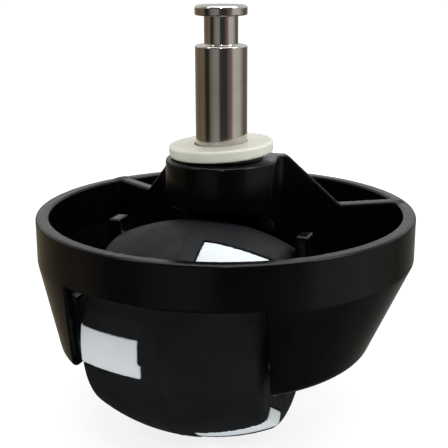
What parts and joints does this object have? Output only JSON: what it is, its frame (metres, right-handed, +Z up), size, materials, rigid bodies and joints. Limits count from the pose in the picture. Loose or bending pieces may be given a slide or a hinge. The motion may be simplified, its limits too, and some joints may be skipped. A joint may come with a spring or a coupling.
{
  "type": "swivel caster with plug-in stem",
  "caption": "Small plug-in swivel caster: steel stem, round black bowl housing and a trailing black barrel wheel with white patches.",
  "frame": {"origin": "on the stem axis, level with the seat face on top of the thrust washer", "axes": "+Z up the stem towards its head, -Y the way the wheel trails, X along the wheel's axle"},
  "size_m": [0.06, 0.06, 0.0645],
  "materials": {
    "stem_steel": "turned and polished",
    "clip_steel": "plain",
    "washer_nylon": "translucent natural nylon",
    "bush_acetal": "matte acetal",
    "housing_plastic": "glossy moulded",
    "core_plastic": "white moulded",
    "tyre_rubber": "matte moulded rubber"
  },
  "bodies": {
    "stem": {"stem": "stem_steel", "stem_clip": "clip_steel", "clip_washer": "clip_steel", "thrust_washer": "washer_nylon"},
    "housing": {"housing": "housing_plastic", "stem_bush": "bush_acetal", "axle": "stem_steel"},
    "wheel": {"wheel_bush_left": "bush_acetal", "wheel_bush_right": "bush_acetal", "wheel_core": "core_plastic", "tyre": "tyre_rubber"}
  },
  "joints": [
    {"name": "swivel", "type": "hinge", "parent": "stem", "child": "housing", "pos_m": [0, 0, 0], "axis": [0, 0, 1], "continuous": true},
    {"name": "wheel_spin", "type": "hinge", "parent": "housing", "child": "wheel", "pos_m": [0, -0.00965, -0.02695], "axis": [1, 0, 0], "continuous": true}
  ]
}
